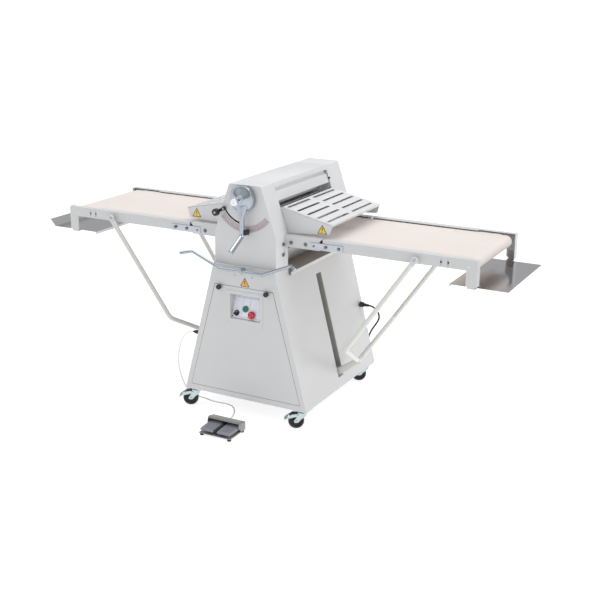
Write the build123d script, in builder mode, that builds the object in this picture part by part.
"""A floor-standing reversible dough sheeter with two folding belt tables, in millimetres.

X runs along the tables, Y from the operator's side to the back, Z up from the floor.
The origin is on the floor, under the middle of the whole machine with its foot switch.
"""
from build123d import *
import os
from math import atan2, cos, hypot, pi, radians, sin, tan

os.makedirs("parts", exist_ok=True)

# ---------------------------------------------------------------- driving dimensions
HEAD_TOP = 1198.0          # overall height
TABLE_END = 1146.0         # from the middle to the end face of a table
PAN_END = 1319.0           # from the middle to the lip of a catch pan
RAIL_TOP = 956.0           # top of the table rails
BELT_TOP = 950.0           # working height of the belts
BELT_WIDTH = 500.0
BELT = 3.0                 # belt thickness
TABLE_WIDTH = 600.0        # over the rails
SHEET = 3.0                # cabinet and rail sheet
SKIN = 2.0                 # light covers and the belt beds

CABINET_BASE = 101.0       # underside of the cabinet
CABINET_TOP = 797.0
CABINET_FRONT = -406.0
CABINET_REAR = 414.0
BASE_HALF = 353.0          # half width of the cabinet at its base
NECK_HALF = 172.0          # half width at its top, and of the head
TRAY_LEVEL = 750.0
HEAD_FRONT = -387.0
HEAD_REAR = 445.0
THROAT_FRONT = -278.0      # the dough passes between these two planes
THROAT_REAR = 304.0
SHOULDER = 953.0
CREST_HALF = 88.0
FRAME_PLATE = 12.0         # side frames of the roller head

ROLLER = 44.0              # radius of the two sheeting rollers
GAP = 20.0                 # roller gap at rest
JOURNAL = 12.0
FIT = 0.06                 # radial running clearance of shafts and pins
CLEAR = 0.3                # clearance between sliding or swinging pieces

PIVOT_X, PIVOT_Z = 394.0, 922.0    # fold hinge of a table
SWEEP = 38.0               # everything on the table inside the hinge stays within this
TAIL_X, TAIL_R = 1102.0, 27.0      # tail roller
DRIVE_X, DRIVE_R = 75.0, 22.0      # belt drive roller
STRUT_X, STRUT_Z = 855.0, 924.0    # strut hinge on the rail
LIP = 42.0                 # width of the rail's top flange

CRANK_Z = 1135.0
LEVER_Z = 780.0
GUARD_X, GUARD_Z = 122.0, 1074.0
DOOR_FOOT = 132.0
WHEEL = 40.0               # wheel radius
TRAIL = 32.0               # caster trail
TRAIL_ANGLE = 208.0        # direction the casters trail, degrees from +X

FOOT_FRONT, FOOT_REAR = -690.0, -545.0
MID = -(FOOT_FRONT + HEAD_REAR) / 2     # y of the machine's middle plane

LEFT_RIGHT = (("left", -1), ("right", 1))
SIGNS = (-1, 1)


# ---------------------------------------------------------------- helpers
def front(y=0.0, x=0.0, z=0.0):
    """An upright plane facing the operator; its own axes are x and z."""
    return Plane(origin=(x, MID + y, z), x_dir=(1, 0, 0), z_dir=(0, -1, 0))


def side(x=0.0, y=0.0, z=0.0):
    """An upright plane facing +X; its own axes are y and z."""
    return Plane(origin=(x, MID + y, z), x_dir=(0, 1, 0), z_dir=(1, 0, 0))


def level(z=0.0, x=0.0, y=0.0):
    """A horizontal plane facing up."""
    return Plane(origin=(x, MID + y, z))


def block(x, y, z, mode=Mode.ADD):
    """A block between two values of x, of y and of z."""
    (x0, x1), (y0, y1), (z0, z1) = sorted(x), sorted(y), sorted(z)
    with Locations(((x0 + x1) / 2, MID + (y0 + y1) / 2, (z0 + z1) / 2)):
        Box(x1 - x0, y1 - y0, z1 - z0, mode=mode)


def prism(points, y, mode=Mode.ADD):
    """A block with the given outline in x and z, between two values of y."""
    near, far = sorted(y)
    with BuildSketch(front(near)) as outline:
        with BuildLine():
            Polyline(*points, close=True)
        make_face()
    extrude(outline.sketch, amount=near - far, mode=mode)


def rod(axis, at, span, radius, mode=Mode.ADD):
    """A round bar along axis "x", "y" or "z"; at holds its other two coordinates."""
    low, high = sorted(span)
    middle = (low + high) / 2
    if axis == "x":
        place = Location((middle, MID + at[0], at[1]), (0, 90, 0))
    elif axis == "y":
        place = Location((at[0], MID + middle, at[1]), (90, 0, 0))
    else:
        place = Location((at[0], MID + at[1], middle))
    with Locations(place):
        Cylinder(radius, high - low, mode=mode)


def folded(points, thickness):
    """The closed outline of a sheet folded along the points, its thickness on the left."""
    shifted = []
    for i, point in enumerate(points):
        normals = []
        for a, b in ((i - 1, i), (i, i + 1)):
            if a >= 0 and b < len(points):
                dx, dz = points[b][0] - points[a][0], points[b][1] - points[a][1]
                size = hypot(dx, dz)
                normals.append((-dz / size, dx / size))
        nx, nz = (sum(n[0] for n in normals), sum(n[1] for n in normals))
        reach = thickness * len(normals) / (nx * nx + nz * nz)
        shifted.append((point[0] + nx * reach, point[1] + nz * reach))
    return list(points) + shifted[::-1]


def mirrored(points, s):
    """The points on the left or the right side of the machine."""
    return [(s * x, z) for x, z in points]


def tube(points, radius):
    """A round tube along straight runs between the points."""
    for a, b in zip(points, points[1:]):
        start = Vector(a[0], MID + a[1], a[2])
        run = Vector(b[0] - a[0], b[1] - a[1], b[2] - a[2])
        with BuildSketch(Plane(origin=start, z_dir=run)) as section:
            Circle(radius)
        extrude(section.sketch, amount=run.length)
    for x, y, z in points[1:-1]:
        with Locations((x, MID + y, z)):
            Sphere(radius)


def cabinet_half(z):
    """Half width of the cabinet at a height."""
    return BASE_HALF - (BASE_HALF - NECK_HALF) * (z - CABINET_BASE) / (CABINET_TOP - CABINET_BASE)


def save(piece, name):
    """Label a finished piece and write it."""
    piece.part.label = name
    export_step(piece.part, f"parts/{name}.step")


# ---------------------------------------------------------------- cabinet
SLOT_Y = (-17.0, 38.0)     # slot for the strut arm in each side wall
SLOT_Z = (151.0, 692.0)
DOOR = [(-316.0, DOOR_FOOT), (-164.0, 690.0), (164.0, 690.0), (316.0, DOOR_FOOT)]
SHELF = 440.0
CHANNEL = 112.0            # depth of the channel that the strut arm runs in

with BuildPart() as cabinet_shell:
    prism([(-BASE_HALF, CABINET_BASE), (-NECK_HALF, CABINET_TOP),
           (NECK_HALF, CABINET_TOP), (BASE_HALF, CABINET_BASE)], (CABINET_FRONT, CABINET_REAR))
    floor, roof = CABINET_BASE + SHEET, CABINET_TOP - SHEET
    prism([(-cabinet_half(floor) + SHEET, floor), (-cabinet_half(roof) + SHEET, roof),
           (cabinet_half(roof) - SHEET, roof), (cabinet_half(floor) - SHEET, floor)],
          (CABINET_FRONT + SHEET, CABINET_REAR - SHEET), Mode.SUBTRACT)
    # the throat between the two columns, the open base and the chain's way up
    block((-BASE_HALF, BASE_HALF), (THROAT_FRONT, THROAT_REAR), (TRAY_LEVEL, CABINET_TOP + 1),
          Mode.SUBTRACT)
    block((-300, 300), (CABINET_FRONT + 50, CABINET_REAR - 50), (CABINET_BASE - 1, floor + 1),
          Mode.SUBTRACT)
    block((-140, 140), (THROAT_REAR + 12, CABINET_REAR - 12), (roof - 1, CABINET_TOP + 1),
          Mode.SUBTRACT)
    # the doorway, with a rebate all round, and the slots for the strut arms
    GAP_ROUND = 2.0
    prism([(-316 - GAP_ROUND, DOOR_FOOT - GAP_ROUND), (-164 - GAP_ROUND, 690 + GAP_ROUND),
           (164 + GAP_ROUND, 690 + GAP_ROUND), (316 + GAP_ROUND, DOOR_FOOT - GAP_ROUND)],
          (CABINET_FRONT - 1, CABINET_FRONT + SHEET + 1), Mode.SUBTRACT)
    block((-BASE_HALF, BASE_HALF), SLOT_Y, SLOT_Z, Mode.SUBTRACT)
    rod("y", (0, LEVER_Z), (CABINET_FRONT - 1, CABINET_FRONT + SHEET + 1), 9 + FIT, Mode.SUBTRACT)
    # closed channels behind the slots, so that no flour gets into the cabinet
    for s in SIGNS:
        low, high = SLOT_Z[0] - SHEET, SLOT_Z[1] + SHEET
        walls = [(cabinet_half(high) - SHEET / 2, high), (cabinet_half(high) - CHANNEL, high),
                 (cabinet_half(low) - CHANNEL, low), (cabinet_half(low) - SHEET / 2, low)]
        prism(folded(mirrored(walls, s), s * SHEET), (SLOT_Y[0] - SHEET, SLOT_Y[1] + SHEET))
        for edge in (SLOT_Y[0] - SHEET, SLOT_Y[1]):
            prism(mirrored(walls, s), (edge, edge + SHEET))
    # motor shelf, welded to the rear wall
    block((-150, 150), (60, CABINET_REAR - SHEET), (SHELF - 4, SHELF))
    # louvres in the rear wall
    for i in range(6):
        block((-90, 90), (CABINET_REAR - SHEET - 1, CABINET_REAR + 1), (560 + 24 * i, 568 + 24 * i),
              Mode.SUBTRACT)
save(cabinet_shell, "cabinet_shell")

HEAD = [(-NECK_HALF, CABINET_TOP), (-NECK_HALF, SHOULDER), (-CREST_HALF, HEAD_TOP),
        (CREST_HALF, HEAD_TOP), (NECK_HALF, SHOULDER), (NECK_HALF, CABINET_TOP)]


def hollow_head(y, open_side):
    """One column of the head: a folded cover, open towards the side frame and below."""
    wall = SHEET
    prism(HEAD, y)
    inner = [(-NECK_HALF + wall, CABINET_TOP - 1), (-NECK_HALF + wall, SHOULDER),
             (-CREST_HALF + wall, HEAD_TOP - wall), (CREST_HALF - wall, HEAD_TOP - wall),
             (NECK_HALF - wall, SHOULDER), (NECK_HALF - wall, CABINET_TOP - 1)]
    reach = (y[0] - 1, y[1] - wall) if open_side < 0 else (y[0] + wall, y[1] + 1)
    prism(inner, reach, Mode.SUBTRACT)


LIMIT_R = 129.0            # arc on which the stop of the gap setting is clamped

with BuildPart() as front_housing:
    hollow_head((HEAD_FRONT, THROAT_FRONT), 1)
    fillet(front_housing.edges().filter_by(Axis.Y).group_by(Axis.Z)[-1], 8)
    rod("y", (0, CRANK_Z), (HEAD_FRONT - 1, HEAD_FRONT + SHEET + 1), 14, Mode.SUBTRACT)
    with BuildSketch(front(HEAD_FRONT - 1, 0, CRANK_Z)) as limit_slot:
        with BuildLine():
            CenterArc((0, 0), LIMIT_R, 205, 63)
        trace(line_width=8)
    extrude(limit_slot.sketch, amount=-(SHEET + 2), mode=Mode.SUBTRACT)
save(front_housing, "front_housing")

with BuildPart() as rear_housing:
    hollow_head((THROAT_REAR, HEAD_REAR), -1)
    fillet(rear_housing.edges().filter_by(Axis.Y).group_by(Axis.Z)[-1], 8)
save(rear_housing, "rear_housing")

# ---------------------------------------------------------------- roller head
LOWER_Z = BELT_TOP - ROLLER
UPPER_Z = BELT_TOP + GAP + ROLLER
DRIVE_Z = BELT_TOP - BELT - DRIVE_R
GAP_TRAVEL = 16.0          # the upper roller moves this far up and down from rest
FRONT_FRAME = (THROAT_FRONT, THROAT_FRONT + FRAME_PLATE)
REAR_FRAME = (THROAT_REAR - FRAME_PLATE, THROAT_REAR)
SLIDER = 28.0              # half width of the upper roller's bearing slider

with BuildPart() as side_frames:
    for near, far in (FRONT_FRAME, REAR_FRAME):
        prism([(-cabinet_half(TRAY_LEVEL) + 8, TRAY_LEVEL), (-NECK_HALF, CABINET_TOP), *HEAD[1:5],
               (NECK_HALF, CABINET_TOP), (cabinet_half(TRAY_LEVEL) - 8, TRAY_LEVEL)], (near, far))
        cut = (near - 1, far + 1)
        rod("y", (0, LOWER_Z), cut, JOURNAL + FIT, Mode.SUBTRACT)
        rod("y", (0, CRANK_Z), cut, 10 + FIT, Mode.SUBTRACT)
        for s in SIGNS:
            rod("y", (s * DRIVE_X, DRIVE_Z), cut, 8 + FIT, Mode.SUBTRACT)
            rod("y", (s * GUARD_X, GUARD_Z), cut, 4 + FIT, Mode.SUBTRACT)
        block((-SLIDER - CLEAR, SLIDER + CLEAR), cut,
              (UPPER_Z - SLIDER - GAP_TRAVEL - 2, UPPER_Z + SLIDER + GAP_TRAVEL + 2), Mode.SUBTRACT)
save(side_frames, "side_frames")

BARREL = (THROAT_FRONT + 21, THROAT_REAR - 21)   # length of the rollers' barrels
SPROCKET_Y = (330.0, 338.0)
SPROCKET_R = 42.0

with BuildPart() as lower_roller:
    rod("y", (0, LOWER_Z), BARREL, ROLLER)
    chamfer(lower_roller.edges().filter_by(GeomType.CIRCLE), 1)
    rod("y", (0, LOWER_Z), (THROAT_FRONT - 16, 345), JOURNAL)
    rod("y", (0, LOWER_Z), SPROCKET_Y, SPROCKET_R)
    rod("y", (0, LOWER_Z), (THROAT_FRONT - 20, THROAT_FRONT - 14), 17)
save(lower_roller, "lower_roller")

with BuildPart() as upper_roller:
    rod("y", (0, UPPER_Z), BARREL, ROLLER)
    chamfer(upper_roller.edges().filter_by(GeomType.CIRCLE), 1)
    rod("y", (0, UPPER_Z), (THROAT_FRONT - 12, THROAT_REAR + 12), JOURNAL)
save(upper_roller, "upper_roller")

BEAM_Z = (1066.0, 1094.0)
CHEEK = 5.0

with BuildPart() as upper_roller_carriage:
    for near, far, s in ((*FRONT_FRAME, 1), (*REAR_FRAME, -1)):
        block((-SLIDER, SLIDER), (near, far), (UPPER_Z - SLIDER, UPPER_Z + SLIDER))
        face = far + 0.5 if s > 0 else near - 0.5
        block((-SLIDER, SLIDER), (face - s * 0.5, face + s * CHEEK),
              (UPPER_Z - SLIDER, UPPER_Z + SLIDER))
        block((-64, 64), (face, face + s * CHEEK), (UPPER_Z + 8, BEAM_Z[1]))
        rod("y", (0, UPPER_Z), (near - 8, far + 8), JOURNAL + FIT, Mode.SUBTRACT)
    block((-40, 40), (FRONT_FRAME[1] + 0.5, REAR_FRAME[0] - 0.5), BEAM_Z)
    for s in SIGNS:
        for x, z in ((56, 1030), (50, 1052)):
            rod("y", (s * x, z), (FRONT_FRAME[1] + 1, REAR_FRAME[0] - 1), 3)
save(upper_roller_carriage, "upper_roller_carriage")

COVER_LIP = 1175.0
BETWEEN = (FRONT_FRAME[1], REAR_FRAME[0])        # the faces of the side frames in the throat

with BuildPart() as head_top_cover:
    edge = [(CREST_HALF + 8.5, COVER_LIP), (CREST_HALF, HEAD_TOP)]
    prism(folded(edge + mirrored(edge[::-1], -1), SKIN), BETWEEN)
    for s in SIGNS:
        # a recess under the lip, and the visor over the rollers
        recess = [(96, COVER_LIP), (84, 1172), (90, 1157), (102, 1153), (117, 1112), (109, 1106)]
        prism(folded(mirrored(recess, s), -s * SKIN), BETWEEN)
save(head_top_cover, "head_top_cover")

# ---------------------------------------------------------------- crumb tray and aprons
TRAY_HALF = 195.0
APRON_FOOT = 46.0

with BuildPart() as crumb_tray:
    tray = [(-TRAY_HALF, TRAY_LEVEL + 15), (-TRAY_HALF, TRAY_LEVEL), (TRAY_HALF, TRAY_LEVEL),
            (TRAY_HALF, TRAY_LEVEL + 15)]
    prism(folded(tray, SKIN), (THROAT_FRONT + 1, THROAT_REAR - 1))
    for s in SIGNS:
        block((s * (TRAY_HALF - 8), s * (TRAY_HALF - SKIN)), (THROAT_FRONT + 1, THROAT_REAR - 1),
              (TRAY_LEVEL + 15 - SKIN, TRAY_LEVEL + 15))
    for near, far in (FRONT_FRAME, REAR_FRAME):
        block((-cabinet_half(TRAY_LEVEL) + 7, cabinet_half(TRAY_LEVEL) - 7), (near - 1, far + 1),
              (TRAY_LEVEL - 1, TRAY_LEVEL + 20), Mode.SUBTRACT)
save(crumb_tray, "crumb_tray")

with BuildPart() as lower_aprons:
    for s in SIGNS:
        slope = [(APRON_FOOT - 14, TRAY_LEVEL + SKIN), (APRON_FOOT, TRAY_LEVEL + SKIN),
                 (150, 872), (160, 872)]
        prism(folded(mirrored(slope, s), s * SKIN), BETWEEN)
        blade = [(30, TRAY_LEVEL + 2 * SKIN), (30, 840), (22, 866)]
        prism(folded(mirrored(blade, s), s * SKIN), BETWEEN)
save(lower_aprons, "lower_aprons")

# ---------------------------------------------------------------- belt tables
RAIL_BOTTOM = 905.0
BED_TOP = BELT_TOP - BELT
FIXED_END = PIVOT_X - 40.0           # the fixed webs end in an arc round the hinge
HALF = TABLE_WIDTH / 2
SWING_HALF = HALF - CLEAR            # the folding rails run just inside the hinge plates
BRACKET_X = 955.0                    # where the rail ends and the end bracket starts
LEG_X, LEG_FOOT = 1094.0, 831.0
BOLT_X = (207.0, 285.0)
PIN_R = 6.0

with BuildPart() as table_brackets:
    for s, sy in ((a, b) for a in SIGNS for b in SIGNS):
        web = (sy * HALF, sy * (HALF - SHEET))
        # the web and its flanges, cut away round the hinge so that the folding rail clears them
        block((s * NECK_HALF, s * (PIVOT_X - 5)), web, (899, RAIL_TOP))
        block((s * NECK_HALF, s * (PIVOT_X - 5)), (sy * HALF, sy * (HALF - LIP)),
              (RAIL_TOP - SHEET, RAIL_TOP))
        rod("y", (s * PIVOT_X, PIVOT_Z), (sy * (HALF + 1), sy * (HALF - LIP - 1)), SWEEP + 2,
            Mode.SUBTRACT)
        block((s * (PIVOT_X - 22), s * PIVOT_X), (sy * (HALF + 1), sy * (HALF - LIP - 1)),
              (890, RAIL_TOP + 1), Mode.SUBTRACT)
        # the foot that is bolted to the column
        block((s * NECK_HALF, s * (NECK_HALF + SHEET)), (sy * HALF, sy * (HALF - 22)), (850, 940))
    for s in SIGNS:
        # the fixed bed, which carries the belt to the rollers
        block((s * 102, s * (PIVOT_X - 36)), (-HALF + SHEET, HALF - SHEET), (BED_TOP - SKIN, BED_TOP))
        for near, far in (FRONT_FRAME, REAR_FRAME):
            block((s * 90, s * (NECK_HALF + 1)), (near - 60 if near < 0 else near - 0.5,
                  far + 0.5 if near < 0 else far + 60), (BED_TOP - 4, BED_TOP + 4), Mode.SUBTRACT)
save(table_brackets, "table_brackets")

for name, s in LEFT_RIGHT:
    with BuildPart() as table_frame:
        for sy in SIGNS:
            outer, inner = sy * SWING_HALF, sy * (SWING_HALF - SHEET)
            block((s * PIVOT_X, s * BRACKET_X), (outer, inner), (RAIL_BOTTOM, RAIL_TOP))
            rod("y", (s * PIVOT_X, PIVOT_Z), (outer, inner), 17)
            block((s * (PIVOT_X - 17), s * BRACKET_X), (outer, sy * (SWING_HALF - LIP)),
                  (RAIL_TOP - SHEET, RAIL_TOP))
            block((s * (PIVOT_X - 17), s * PIVOT_X), (outer, inner), (PIVOT_Z, RAIL_TOP))
            block((s * (PIVOT_X + 4), s * BRACKET_X), (outer, sy * (SWING_HALF - 25)),
                  (RAIL_BOTTOM, RAIL_BOTTOM + SHEET))
            # tongue that the end bracket slides on, and the boss of the strut hinge
            block((s * (BRACKET_X - 60), s * (BRACKET_X + 80)), (inner, inner - sy * SHEET),
                  (RAIL_BOTTOM + SHEET, BED_TOP - SKIN))
            rod("y", (s * PIVOT_X, PIVOT_Z), (sy * (HALF + 1), sy * (HALF - 8)), PIN_R + FIT,
                Mode.SUBTRACT)
        block((s * (PIVOT_X - 16), s * 1070), (-SWING_HALF + SHEET, SWING_HALF - SHEET),
              (BED_TOP - SKIN, BED_TOP))
        for x in (470, 700, 930):
            block((s * x, s * (x + 30)), (-SWING_HALF + SHEET, SWING_HALF - SHEET),
                  (RAIL_BOTTOM + SHEET, RAIL_BOTTOM + 2 * SHEET))
    save(table_frame, f"{name}_table_frame")

    with BuildPart() as end_brackets:
        for sy in SIGNS:
            outer, inner = sy * SWING_HALF, sy * (SWING_HALF - SHEET)
            block((s * BRACKET_X, s * TABLE_END), (outer, inner), (RAIL_BOTTOM, RAIL_TOP))
            block((s * LEG_X, s * TABLE_END), (outer, inner), (LEG_FOOT, RAIL_TOP))
            block((s * BRACKET_X, s * TABLE_END), (outer, sy * (SWING_HALF - 26)),
                  (RAIL_TOP - SHEET, RAIL_TOP))
            block((s * (TABLE_END - SHEET), s * TABLE_END), (outer, sy * (SWING_HALF - 40)),
                  (LEG_FOOT, RAIL_TOP))
            # slots that let the bracket slide and tighten the belt
            for x in (974, 1008):
                block((s * (x - 4.5), s * (x + 4.5)), (outer + sy, inner - sy), (914, 944),
                      Mode.SUBTRACT)
            rod("y", (s * TAIL_X, BED_TOP - TAIL_R), (outer + sy, inner - sy), 8 + FIT, Mode.SUBTRACT)
    save(end_brackets, f"{name}_end_brackets")

    with BuildPart() as tail_roller:
        rod("y", (s * TAIL_X, BED_TOP - TAIL_R), (-BELT_WIDTH / 2 - 6, BELT_WIDTH / 2 + 6), TAIL_R - 0.2)
        fillet(tail_roller.edges().filter_by(GeomType.CIRCLE), 3)
        rod("y", (s * TAIL_X, BED_TOP - TAIL_R), (-SWING_HALF + 0.5, SWING_HALF - 0.5), 8)
    save(tail_roller, f"{name}_tail_roller")

    with BuildPart() as drive_roller:
        rod("y", (s * DRIVE_X, DRIVE_Z), BARREL, DRIVE_R - 0.2)
        chamfer(drive_roller.edges().filter_by(GeomType.CIRCLE), 1)
        rod("y", (s * DRIVE_X, DRIVE_Z), (THROAT_FRONT - 8, THROAT_REAR + 16), 8)
    save(drive_roller, f"{name}_drive_roller")

    with BuildPart() as belt:
        tail_z = BED_TOP - TAIL_R
        inner_end = PIVOT_X - 16
        with BuildSketch(front(-BELT_WIDTH / 2)) as loop:
            with BuildLine():
                Polyline((s * inner_end, BELT_TOP), (s * TAIL_X, BELT_TOP))
                ThreePointArc((s * TAIL_X, BELT_TOP), (s * (TAIL_X + TAIL_R + BELT), tail_z),
                              (s * TAIL_X, tail_z - TAIL_R - BELT))
                Polyline((s * TAIL_X, tail_z - TAIL_R - BELT), (s * inner_end, tail_z - TAIL_R - BELT),
                         (s * inner_end, tail_z - TAIL_R), (s * TAIL_X, tail_z - TAIL_R))
                ThreePointArc((s * TAIL_X, tail_z - TAIL_R), (s * (TAIL_X + TAIL_R), tail_z),
                              (s * TAIL_X, BED_TOP))
                Polyline((s * TAIL_X, BED_TOP), (s * inner_end, BED_TOP), (s * inner_end, BELT_TOP))
            make_face()
        extrude(loop.sketch, amount=-BELT_WIDTH)
    save(belt, f"{name}_belt")

    PAN_Z, PAN_IN, PAN_OUT, PAN_HALF = 820.0, 1006.0, 1285.0, 266.0
    with BuildPart() as catch_pan:
        pan = [(PAN_IN, PAN_Z - 12), (PAN_IN, PAN_Z), (PAN_OUT, PAN_Z), (PAN_END - 1.5, 857)]
        prism(folded(mirrored(pan, s), s * 1.5), (-PAN_HALF, PAN_HALF))
        for sy in SIGNS:
            # ears that hang the pan on the legs
            block((s * (LEG_X + 8), s * (TABLE_END - 8)), (sy * (PAN_HALF - 1.5), sy * (SWING_HALF - SHEET)),
                  (PAN_Z, PAN_Z + 1.5))
            block((s * (LEG_X + 8), s * (TABLE_END - 8)),
                  (sy * (SWING_HALF - SHEET - 1.5), sy * (SWING_HALF - SHEET)), (PAN_Z, PAN_Z + 45))
    save(catch_pan, f"{name}_catch_pan")

with BuildPart() as inner_belts:
    for s in SIGNS:
        tail_low = BED_TOP - 2 * TAIL_R - BELT
        outer_end = PIVOT_X - 36
        with BuildSketch(front(-BELT_WIDTH / 2)) as loop:
            with BuildLine():
                low = DRIVE_Z - DRIVE_R
                Polyline((s * outer_end, BELT_TOP), (s * DRIVE_X, BELT_TOP))
                ThreePointArc((s * DRIVE_X, BELT_TOP), (s * (DRIVE_X - DRIVE_R - BELT), DRIVE_Z),
                              (s * DRIVE_X, low - BELT))
                Polyline((s * DRIVE_X, low - BELT), (s * outer_end, tail_low),
                         (s * outer_end, tail_low + BELT), (s * DRIVE_X, low))
                ThreePointArc((s * DRIVE_X, low), (s * (DRIVE_X - DRIVE_R), DRIVE_Z),
                              (s * DRIVE_X, BED_TOP))
                Polyline((s * DRIVE_X, BED_TOP), (s * outer_end, BED_TOP), (s * outer_end, BELT_TOP))
            make_face()
        extrude(loop.sketch, amount=-BELT_WIDTH)
save(inner_belts, "inner_belts")

# ---------------------------------------------------------------- struts
STRUT_Y = 322.0
STRUT_R = 12.5
ARM_Y = (SLOT_Y[0] + SLOT_Y[1]) / 2

for name, s in LEFT_RIGHT:
    with BuildPart() as strut:
        for sy in SIGNS:
            tube([(s * (STRUT_X - 14), sy * STRUT_Y, STRUT_Z - 20), (s * 510, sy * 304, 425),
                  (s * 440, ARM_Y + sy * 12, 260)], STRUT_R)
            # flattened eye on the hinge bolt
            rod("y", (s * STRUT_X, STRUT_Z), (sy * (STRUT_Y - 5), sy * (STRUT_Y + 5)), 17)
            block((s * (STRUT_X - 17), s * STRUT_X), (sy * (STRUT_Y - 5), sy * (STRUT_Y + 5)),
                  (STRUT_Z - 24, STRUT_Z))
            rod("y", (s * STRUT_X, STRUT_Z), (sy * (STRUT_Y - 8), sy * (STRUT_Y + 8)), 5 + FIT,
                Mode.SUBTRACT)
        # the single arm that runs in the cabinet's slot, with its tail inside
        prism(mirrored([(449, 278), (455, 250), (338, 164), (240, 160), (238, 190), (322, 196)], s),
              (ARM_Y - 15, ARM_Y + 15))
    save(strut, f"{name}_strut")

# ---------------------------------------------------------------- guards
GUARD = (-265.0, 290.0)
GUARD_IN, GUARD_OUT = (135.0, 1083.0), (410.0, 1022.0)
GUARD_T = 2.5

for name, s in LEFT_RIGHT:
    with BuildPart() as guard:
        top = [GUARD_IN, GUARD_OUT, (GUARD_OUT[0] - 3, GUARD_OUT[1] - 10)]
        prism(folded(mirrored(top, s), -s * GUARD_T), GUARD)
        for i in range(5):
            t = (0.05 + i * 0.196)
            x = GUARD_IN[0] + t * (GUARD_OUT[0] - GUARD_IN[0])
            for y in ((GUARD[0] + 24, -8), (30, GUARD[1] - 24)):
                block((s * x, s * (x + 14)), y, (1000, 1090), Mode.SUBTRACT)
        for near, far in ((GUARD[0], GUARD[0] + GUARD_T), (GUARD[1] - GUARD_T, GUARD[1])):
            panel = [(118, 1078), GUARD_IN, GUARD_OUT, (396, 974), (165, 958), (118, 1066)]
            prism(mirrored(panel, s), (near, far))
            rod("y", (s * GUARD_X, GUARD_Z), (near, far), 8)
        for at in (GUARD[0] - 6, GUARD[1] - GUARD_T):
            rod("y", (s * GUARD_X, GUARD_Z), (at, at + 8.5), 4)
    save(guard, f"{name}_guard")

# ---------------------------------------------------------------- gap setting on the front
SCALE = 53.0               # the scale reaches this many degrees either side of straight down
STOP_ANGLE = 208.5         # where the stop is clamped, degrees from +X

with BuildPart() as scale_plate:
    with BuildSketch(front(HEAD_FRONT, 0, CRANK_Z)) as sector:
        with BuildLine():
            CenterArc((0, 0), 154, 270 - SCALE, 2 * SCALE)
        trace(line_width=32)
    extrude(sector.sketch, amount=1.5)
save(scale_plate, "scale_plate")

DRUM_R = 65.0
with BuildPart() as gap_crank:
    rod("y", (0, CRANK_Z), (-425, THROAT_REAR + 6), 10)
    rod("y", (0, CRANK_Z), (-412, HEAD_FRONT - 3), 20)
    rod("y", (0, CRANK_Z), (-418, -394), DRUM_R)
    with Locations(Location((0, MID - 426, CRANK_Z), (90, 0, 0))):
        Cone(DRUM_R - 3, 20, 16)
    rod("y", (0, CRANK_Z), (-441, -434), 11)
    rod("y", (-28, CRANK_Z - 15), (-450, -420), 17)
    prism([(-26, 1098), (36, 1098), (17, 1046), (-7, 1046)], (-433, -414))
    tube([(5, -424, 1090), (5, -424, 956), (0, -524, 893)], 12)
    block((8, 30), (-430, -392), (962, 984))
save(gap_crank, "gap_crank")

STOP_KNOB_R = 168.0        # the stop's knob, from the middle of the crank


def on_stop(r, aside=0.0):
    """A point on the line from the crank's middle through the stop."""
    a = radians(STOP_ANGLE)
    return (r * cos(a) - aside * sin(a), CRANK_Z + r * sin(a) + aside * cos(a))


with BuildPart() as gap_limit_lever:
    clamp, knob = on_stop(LIMIT_R), on_stop(STOP_KNOB_R)
    rod("y", clamp, (-404, HEAD_FRONT + 12), 3.5)
    rod("y", clamp, (-400, HEAD_FRONT - 0.4), 8.5)
    rod("y", clamp, (HEAD_FRONT + SHEET + 0.4, HEAD_FRONT + 12), 8.5)
    prism([on_stop(LIMIT_R - 12, -9), on_stop(LIMIT_R - 12, 9), on_stop(STOP_KNOB_R, 6),
           on_stop(STOP_KNOB_R, -6)], (-404, -398))
    rod("y", knob, (-426, -404), 18)
    fillet(gap_limit_lever.edges().sort_by(Axis.Y)[0], 4)
    rod("y", knob, (-427, -425), 5)
save(gap_limit_lever, "gap_limit_lever")

LEVER_Y = -430.0
with BuildPart() as direction_lever:
    # both ends come forward as handles
    tube([(-324, LEVER_Y - 45, 842), (-281, LEVER_Y, 847), (-120, LEVER_Y, LEVER_Z),
          (120, LEVER_Y, LEVER_Z), (281, LEVER_Y, 847), (324, LEVER_Y - 45, 842)], 8)
    rod("y", (0, LEVER_Z), (LEVER_Y - 12, CABINET_FRONT - 1), 14)
    rod("y", (0, LEVER_Z), (CABINET_FRONT - 2, -350), 9)
save(direction_lever, "direction_lever")

# ---------------------------------------------------------------- door and controls
BEZEL_X, BEZEL_Z = (-97.0, 109.0), (497.0, 670.0)
WINDOW_X, WINDOW_Z = (-77.0, 94.0), (525.0, 652.0)
PANEL_LOW, PANEL_HIGH = (-396.0, 526.0), (-350.0, 642.0)   # y, z of the tilted panel's edges
lean = atan2(PANEL_HIGH[0] - PANEL_LOW[0], PANEL_HIGH[1] - PANEL_LOW[1])
PANEL = Plane(origin=(sum(WINDOW_X) / 2, MID + (PANEL_LOW[0] + PANEL_HIGH[0]) / 2,
                      (PANEL_LOW[1] + PANEL_HIGH[1]) / 2),
              x_dir=(1, 0, 0), z_dir=(0, -cos(lean), sin(lean)))
START_R, STEM_R = 14.5, 9.0          # start button, stems of the other two
START, STOP, SELECTOR = (-13.0, -12.0), (31.0, -38.0), (-59.0, -37.0)


DOOR_HINGE = (CABINET_FRONT + 4, DOOR_FOOT + 4)      # y, z


def across(points, x, mode=Mode.ADD):
    """A block with the given outline in y and z, between two values of x."""
    with BuildSketch(side(x[0])) as outline:
        with BuildLine():
            Polyline(*points, close=True)
        make_face()
    extrude(outline.sketch, amount=x[1] - x[0], mode=mode)


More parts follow.
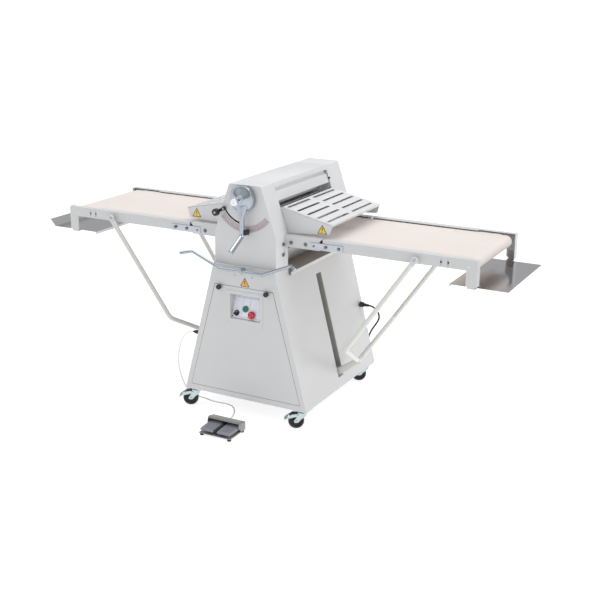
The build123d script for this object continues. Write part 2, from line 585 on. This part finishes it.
def disc(at, span, radius, mode=Mode.ADD):
    """A round piece standing on the tilted control panel."""
    with BuildSketch(PANEL.offset(span[0])) as outline:
        with Locations(at):
            Circle(radius)
    extrude(outline.sketch, amount=span[1] - span[0], mode=mode)


with BuildPart() as access_door:
    prism(DOOR, (CABINET_FRONT, CABINET_FRONT + SKIN))
    block((WINDOW_X[0] - 2, WINDOW_X[1] + 2), (CABINET_FRONT - 1, CABINET_FRONT + SHEET),
          (WINDOW_Z[0] - 2, WINDOW_Z[1] + 2), Mode.SUBTRACT)
    # stiffening folds up both sides, behind the face
    for s in SIGNS:
        prism(mirrored([(300, DOOR_FOOT + 12), (155, 680), (153, 680), (298, DOOR_FOOT + 12)], s),
              (CABINET_FRONT + SKIN, CABINET_FRONT + 20))
        # hinge knuckles at the foot
        rod("x", DOOR_HINGE, (s * 200, s * 240), 3)
save(access_door, "access_door")

with BuildPart() as control_box:
    block(BEZEL_X, (CABINET_FRONT - 2, CABINET_FRONT), BEZEL_Z)
    (y0, z0), (y1, z1) = PANEL_LOW, PANEL_HIGH
    across([(CABINET_FRONT, WINDOW_Z[0] - 2), (CABINET_FRONT, WINDOW_Z[1] + 2), (y1 + 4, WINDOW_Z[1] + 2),
            (y1 + 4, z1 - 2), (y0 + 4, WINDOW_Z[0] - 2)], (WINDOW_X[0] - 2, WINDOW_X[1] + 2))
    across([(CABINET_FRONT - 3, WINDOW_Z[0]), (CABINET_FRONT - 3, WINDOW_Z[1]), (y1, WINDOW_Z[1]),
            (y1, z1), (y0, z0), (y0, WINDOW_Z[0])], WINDOW_X, Mode.SUBTRACT)
    for at, collar, bore in ((START, 17, START_R), (STOP, 14, STEM_R), (SELECTOR, 14, STEM_R)):
        disc(at, (-1, 3), collar)
        disc(at, (-12, 4), bore + CLEAR, Mode.SUBTRACT)
    for x in BEZEL_X:
        for z in BEZEL_Z:
            rod("y", (x - 9 if x > 0 else x + 9, z - 9 if z > 600 else z + 9),
                (CABINET_FRONT - 3.5, CABINET_FRONT - 2), 4)
save(control_box, "control_box")

with BuildPart() as start_button:
    disc(START, (-8, 6), START_R)
save(start_button, "start_button")

with BuildPart() as stop_button:
    disc(STOP, (-8, 10), STEM_R)
    disc(STOP, (9, 18), 20)
    fillet(stop_button.edges().filter_by(GeomType.CIRCLE).group_by(SortBy.RADIUS)[-1], 3)
save(stop_button, "stop_button")

with BuildPart() as selector_switch:
    disc(SELECTOR, (-8, 4), STEM_R)
    disc(SELECTOR, (3.5, 9), 12)
    with BuildSketch(PANEL.offset(8)) as grip:
        with Locations(Location((*SELECTOR, 0), 35)):
            Rectangle(26, 9)
    extrude(grip.sketch, amount=10)
save(selector_switch, "selector_switch")

with BuildPart() as door_knobs:
    for s in SIGNS:
        rod("y", (s * 134, 680), (CABINET_FRONT - 8, CABINET_FRONT), 7)
        rod("y", (s * 134, 680), (CABINET_FRONT - 22, CABINET_FRONT - 8), 13)
save(door_knobs, "door_knobs")

# ---------------------------------------------------------------- drive
MOTOR_Z = SHELF + 75.0
PINION_R = 30.0
with BuildPart() as drive_motor:
    rod("y", (0, MOTOR_Z), (85, 245), 68)
    rod("y", (0, MOTOR_Z), (78, 85), 55)
    block((-62, 62), (245, 318), (MOTOR_Z - 60, MOTOR_Z + 60))
    block((-80, 80), (110, 300), (SHELF, SHELF + 12))
    rod("y", (0, MOTOR_Z), (318, 345), 11)
    rod("y", (0, MOTOR_Z), SPROCKET_Y, PINION_R)
save(drive_motor, "drive_motor")

with BuildPart() as drive_chain:
    for width, mode in ((8, Mode.ADD), (0, Mode.SUBTRACT)):
        with BuildSketch(front(SPROCKET_Y[0])) as loop:
            with Locations((0, LOWER_Z)):
                Circle(SPROCKET_R + 0.4 + width)
            with Locations((0, MOTOR_Z)):
                Circle(PINION_R + 0.4 + width)
            make_hull()
        extrude(loop.sketch, amount=SPROCKET_Y[0] - SPROCKET_Y[1], mode=mode)
save(drive_chain, "drive_chain")

# ---------------------------------------------------------------- casters
CASTERS = {"front_left": (-312.0, -365.0), "front_right": (312.0, -365.0),
           "rear_left": (-312.0, 373.0), "rear_right": (312.0, 373.0)}
TRAIL_DIR = Vector(cos(radians(TRAIL_ANGLE)), sin(radians(TRAIL_ANGLE)), 0)
TREAD = 13.0               # half the width of a wheel
BRAKE_STUD = (26.0, 74.0)  # along the trail, height


def caster_plane(x, y):
    """A plane on a caster: its x runs out along the trail, its y is up, its z is the axle."""
    return Plane(origin=(x, MID + y, 0), x_dir=TRAIL_DIR, z_dir=TRAIL_DIR.cross(Vector(0, 0, 1)))


def caster_plate(points, x, y, offset, thickness, mode=Mode.ADD):
    """A plate standing along the trail of a caster, centred offset from the wheel's middle."""
    plane = caster_plane(x, y)
    with BuildSketch(plane.offset(offset - thickness / 2)) as outline:
        with BuildLine():
            Polyline(*points, close=True)
        make_face()
    extrude(outline.sketch, amount=thickness, mode=mode)


def caster_disc(x, y, along, z, half, radius, mode=Mode.ADD):
    """A round piece on an axis parallel to a caster's axle."""
    with BuildSketch(caster_plane(x, y).offset(-half)) as outline:
        with Locations((along, z)):
            Circle(radius)
    extrude(outline.sketch, amount=2 * half, mode=mode)


for name, (x, y) in CASTERS.items():
    with BuildPart() as fork:
        rod("z", (x, y), (84, 88), 27)
        for offset in (-TREAD - 4, TREAD + 4):
            caster_plate([(-24, 84), (24, 84), (TRAIL + 11, WHEEL + 6), (TRAIL + 11, WHEEL - 9),
                          (TRAIL - 11, WHEEL - 9)], x, y, offset, 2.5)
        caster_disc(x, y, TRAIL, WHEEL, TREAD + 8, 5)
        rod("z", (x, y), (88, 96.6), 9)
        if name.startswith("front"):
            # studs that the brake lever turns on
            for offset in (-TREAD - 10, TREAD + 4):
                with BuildSketch(caster_plane(x, y).offset(offset)) as stud:
                    with Locations(BRAKE_STUD):
                        Circle(3)
                extrude(stud.sketch, amount=6)
    save(fork, f"{name}_fork")

    with BuildPart() as wheel:
        caster_disc(x, y, TRAIL, WHEEL, TREAD, WHEEL)
        fillet(wheel.edges().filter_by(GeomType.CIRCLE), 4)
        caster_disc(x, y, TRAIL, WHEEL, TREAD + 1.5, 14)
        caster_disc(x, y, TRAIL, WHEEL, TREAD + 3, 5 + FIT, Mode.SUBTRACT)
    save(wheel, f"{name}_wheel")

for name in ("front_left", "front_right"):
    x, y = CASTERS[name]
    with BuildPart() as brake_lever:
        # a pressed tread on the far side of the swivel, over the wheel
        for offset in (-TREAD - 8, TREAD + 8):
            caster_plate([(18, 76), (30, 82), (56, 77), (92, 50), (90, 46), (70, 56), (30, 66)],
                         x, y, offset, 2.5)
        caster_plate([(74, 65), (92, 50), (92, 47), (74, 62)], x, y, 0, 2 * TREAD + 18.5)
        with BuildSketch(caster_plane(x, y).offset(-TREAD - 12)) as stud_hole:
            with Locations(BRAKE_STUD):
                Circle(3 + FIT)
        extrude(stud_hole.sketch, amount=2 * TREAD + 24, mode=Mode.SUBTRACT)
    save(brake_lever, f"{name}_brake_lever")

# ---------------------------------------------------------------- fixings
with BuildPart() as zinc_fixings:
    for x, y in CASTERS.values():
        block((x - 40, x + 40), (y - 36, y + 36), (CABINET_BASE - 4, CABINET_BASE))
        rod("z", (x, y), (88.4, 97), 24)
        rod("z", (x, y), (88, 97), 9.4, Mode.SUBTRACT)
    for s, sy in ((a, b) for a in SIGNS for b in SIGNS):
        # hinge plate with its pivot bolt, and the screw that keeps the table level
        block((s * 312, s * 485), (sy * HALF, sy * (HALF + 3)), (904, 938))
        rod("y", (s * PIVOT_X, PIVOT_Z), (sy * (HALF + 3), sy * (HALF - 6)), PIN_R)
        for x, r in ((PIVOT_X, 9), (463, 9)):
            rod("y", (s * x, PIVOT_Z), (sy * (HALF + 3), sy * (HALF + 8)), r)
        for x in BOLT_X:
            rod("y", (s * x, PIVOT_Z), (sy * HALF, sy * (HALF + 5)), 10)
    for s in SIGNS:
        for y in (-316, 330):
            for z in (860, 912):
                rod("x", (y, z), (s * NECK_HALF, s * (NECK_HALF + 7)), 10)
        for z in (748, 791):
            rod("y", (s * 50, z), (CABINET_FRONT - 3, CABINET_FRONT), 4)
        a = radians(270 + s * 33)
        rod("y", (154 * cos(a), CRANK_Z + 154 * sin(a)), (HEAD_FRONT - 3, HEAD_FRONT - 1.5), 3)
save(zinc_fixings, "zinc_fixings")

# ---------------------------------------------------------------- foot switch
PEDAL_HINGE = (-566.0, 30.0)         # y, z
FOOT_X = (-92.0, 88.0)
FOOT_MID = sum(FOOT_X) / 2

with BuildPart() as foot_switch_body:
    block(FOOT_X, (FOOT_FRONT, FOOT_REAR), (12, 15))
    for x in (FOOT_X[0] + 12, FOOT_X[1] - 12):
        for y in (FOOT_FRONT + 12, FOOT_REAR - 12):
            rod("z", (x, y), (0, 12), 10)
    block((FOOT_MID - 4, FOOT_MID + 4), (FOOT_FRONT + 12, FOOT_REAR - 10), (15, 44))
    block((FOOT_X[0] + 10, FOOT_X[1] - 10), (FOOT_REAR - 14, FOOT_REAR - 4), (15, 40))
    rod("y", (-45, 27), (FOOT_REAR - 8, FOOT_REAR + 14), 7)
    # the pin both pedals turn on
    rod("x", PEDAL_HINGE, (FOOT_X[0] + 3, FOOT_X[1] - 3), 2.5)
save(foot_switch_body, "foot_switch_body")

with BuildPart() as foot_switch_hood:
    hood = [(FOOT_REAR - 60, 60), (FOOT_REAR - 52, 68), (FOOT_REAR, 56), (FOOT_REAR, 15)]
    across(folded(hood, SKIN)[::-1], FOOT_X)
    for x in (FOOT_X[0], FOOT_X[1] - SKIN):
        across([(FOOT_REAR - 60, 60), (FOOT_REAR - 52, 68), (FOOT_REAR, 56), (FOOT_REAR, 15),
                (FOOT_REAR - 40, 15), (FOOT_REAR - 66, 40)], (x, x + SKIN))
    rod("y", (-45, 27), (FOOT_REAR - 4, FOOT_REAR + 4), 7.3, Mode.SUBTRACT)
save(foot_switch_hood, "foot_switch_hood")

for name, x in (("left", (FOOT_X[0] + 6, FOOT_MID - 11)), ("right", (FOOT_MID + 11, FOOT_X[1] - 6))):
    with BuildPart() as pedal:
        hy, hz = PEDAL_HINGE
        across([(hy + 6, hz - 6), (hy + 6, hz + 14), (FOOT_FRONT + 12, hz + 8), (FOOT_FRONT + 4, hz),
                (FOOT_FRONT + 6, hz - 4), (hy - 8, hz - 4)], x)
        rod("x", PEDAL_HINGE, (x[0] - 1, x[1] + 1), 2.5 + FIT, Mode.SUBTRACT)
    save(pedal, f"{name}_pedal")

# ---------------------------------------------------------------- cables
POWER_D, PEDAL_D = 10.0, 8.5
POWER_GLAND, PEDAL_GLAND = (374.0, 435.0), (-382.0, 407.0)

with BuildPart() as cable_glands:
    rod("x", POWER_GLAND, (271.5, 296), 15)
    with Locations(Location((311, MID + POWER_GLAND[0], POWER_GLAND[1]), (0, 90, 0))):
        Cone(10, 6.5, 30)
    rod("x", PEDAL_GLAND, (-300, -277.5), 10)
    with Locations(Location((-307, MID + PEDAL_GLAND[0], PEDAL_GLAND[1]), (0, -90, 0))):
        Cone(7, 5, 14)
save(cable_glands, "cable_glands")

COIL_X, COIL_Y = 60.0, 556.0
COIL_RADII = (50.0, 60.0)            # middle of the two turns of a layer
POWER_ROUTE = [(326, 374, 435), (342, 374.5, 434.8), (367, 378, 420), (380, 386, 394),
               (381, 393, 371), (371, 402, 348), (349, 414, 315), (326, 428, 285), (305, 442, 250),
               (291, 454, 210), (284, 463, 165), (279, 470, 120), (268, 475, 78), (248, 479, 42),
               (219, 483, 17), (186, 487, 5.2), (150, 493, 5.2), (116, 496, 5.2), (82, 496, 5.2)]
PLUG_ROUTE = [(82, 616, 15.2), (106, 615, 13), (130, 610, 8.5), (154, 604, 7), (176, 599, 8)]
PEDAL_ROUTE = [(-314, -382, 407), (-337, -382.5, 403), (-363, -384, 386), (-386, -385, 354),
               (-402, -384, 308), (-411, -382, 262), (-415, -379, 214), (-414, -370, 168),
               (-412, -354, 120), (-410, -330, 74), (-400, -308, 34), (-378, -295, 9),
               (-344, -287, 4.5), (-304, -291, 4.5), (-262, -306, 4.5), (-218, -308, 4.5),
               (-172, -301, 4.5), (-132, -312, 4.5), (-101, -340, 4.5), (-76, -380, 4.5),
               (-58, -424, 4.5), (-49, -466, 7), (-46, -500, 17), (-45, -531, 27)]


def corner_radii(route):
    """The largest arc that each corner's two runs allow; only the end runs belong to one arc."""
    points = [Vector(*p) for p in route]
    room = [0.45 * (b - a).length for a, b in zip(points, points[1:])]
    room[0], room[-1] = 2 * room[0], 2 * room[-1]
    radii = []
    for i in range(1, len(points) - 1):
        turn = radians((points[i] - points[i - 1]).get_angle(points[i + 1] - points[i]))
        radii.append(min(room[i - 1], room[i]) / tan(turn / 2))
    return radii


def cord(route, diameter, name):
    """The tube of a free cord; prints the arcs and the length."""
    radii = corner_radii(route)
    points = [(x, MID + y, z) for x, y, z in route]
    with BuildLine() as path:
        FilletPolyline(*points, radius=radii)
    with BuildSketch(Plane(origin=points[0], z_dir=path.wire() % 0)) as section:
        Circle(diameter / 2)
    sweep(section.sketch, path=path.wire())
    length = path.wire().length
    print(name, "arcs", [round(r) for r in radii], "length", round(length))
    return length


with BuildPart() as power_cord:
    lead = cord(POWER_ROUTE, POWER_D, "power cord")
    tail = cord(PLUG_ROUTE, POWER_D, "plug end")
save(power_cord, "power_cord")

with BuildPart() as pedal_cord:
    cord(PEDAL_ROUTE, PEDAL_D, "pedal cord")
save(pedal_cord, "pedal_cord")

with BuildPart() as power_coil:
    with BuildSketch(level(0.2, COIL_X, COIL_Y)) as ring:
        Circle(COIL_RADII[1] + POWER_D / 2)
        Circle(COIL_RADII[0] - POWER_D / 2, mode=Mode.SUBTRACT)
    extrude(ring.sketch, amount=2 * POWER_D)
COIL_TURNS = 3.5
print("power cord in all", round(lead + tail + COIL_TURNS * pi * sum(COIL_RADII)))
save(power_coil, "power_coil")

PLUG_AT, PIN_X, PIN_GAP = (176.0, 599.0), 226.0, 19.0
PLUG_PIN_R, PLUG_PIN_LENGTH = 2.4, 19.0
with BuildPart() as power_plug:
    along = Plane(origin=(PLUG_AT[0], MID + PLUG_AT[1], 15), x_dir=(0, 1, 0), z_dir=(1, 0, 0))
    with BuildSketch(along) as tail_end:
        with Locations((0, -7)):
            Circle(6.5)
    with BuildSketch(along.offset(28)) as waist:
        Ellipse(15, 11)
    loft([tail_end.sketch, waist.sketch])
    with BuildSketch(along.offset(28)) as head:
        Ellipse(18, 13)
    extrude(head.sketch, amount=PIN_X - PLUG_AT[0] - 28)
    for s in SIGNS:
        rod("x", (PLUG_AT[1] + s * PIN_GAP / 2, 15), (PIN_X - 1, PIN_X + PLUG_PIN_LENGTH), PLUG_PIN_R)
save(power_plug, "power_plug")
